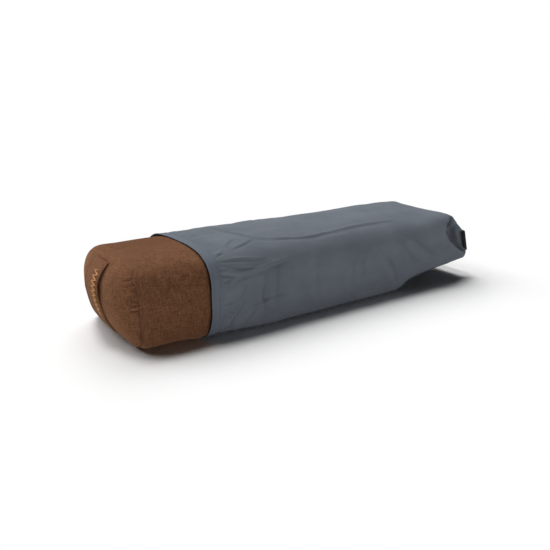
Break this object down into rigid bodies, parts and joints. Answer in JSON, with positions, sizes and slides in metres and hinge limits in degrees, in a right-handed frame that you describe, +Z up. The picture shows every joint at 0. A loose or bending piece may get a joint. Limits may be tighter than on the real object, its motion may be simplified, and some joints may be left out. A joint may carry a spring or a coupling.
{
  "type": "yoga bolster",
  "caption": "Rectangular zip-covered yoga bolster with an end handle strap, drawn part of the way out of its cloth carrying bag, which has a hemmed mouth and a webbing grab handle.",
  "frame": {"origin": "on the surface that the object lies on, below the middle of the bolster's length and width", "axes": "+X along the bolster, from its handle end to the closed end of the bag; +Z up; -Y is the long side that faces the picture's camera, +Y the side with the zip"},
  "size_m": [0.8209, 0.249, 0.15],
  "materials": {
    "canvas": "brown cotton canvas, coarse mottled weave",
    "zip_tape": "brown woven zip tape",
    "zip_coil": "brown nylon coil",
    "zip_metal": "dull antique brass",
    "liner_cotton": "plain unbleached cotton",
    "batting": "soft white batting",
    "foam": "firm open-cell foam",
    "bag_cloth": "slate grey smooth coated cloth, slight sheen",
    "webbing": "black woven webbing"
  },
  "bodies": {
    "bolster": {"cover_wrap": "canvas", "cover_near_end_panel": "canvas", "cover_far_end_panel": "canvas", "handle_strap": "canvas", "zip_tape_upper": "zip_tape", "zip_tape_lower": "zip_tape", "zip_coil_upper": "zip_coil", "zip_coil_lower": "zip_coil", "zip_top_stop_upper": "zip_metal", "zip_top_stop_lower": "zip_metal", "zip_bottom_stop": "zip_metal", "inner_liner": "liner_cotton", "batting_wrap": "batting", "batting_near_pad": "batting", "batting_far_pad": "batting", "foam_core": "foam"},
    "zip_slider_body": {"zip_slider": "zip_metal"},
    "zip_tab_body": {"zip_pull_tab": "zip_metal"},
    "bag": {"bag_wrap": "bag_cloth", "bag_end_panel": "bag_cloth", "bag_mouth_hem": "bag_cloth", "bag_grab_handle": "webbing"}
  },
  "joints": [
    {"name": "bag_slide", "type": "slide", "parent": "bolster", "child": "bag", "axis": [1, 0, 0], "range_m": [0, 0.49]},
    {"name": "zip_slide", "type": "slide", "parent": "bolster", "child": "zip_slider_body", "axis": [1, 0, 0], "range_m": [0, 0.43]},
    {"name": "zip_tab_hinge", "type": "hinge", "parent": "zip_slider_body", "child": "zip_tab_body", "pos_m": [-0.242, 0.12045, 0.075], "axis": [0, 0, 1], "range_deg": [0, 180]}
  ]
}
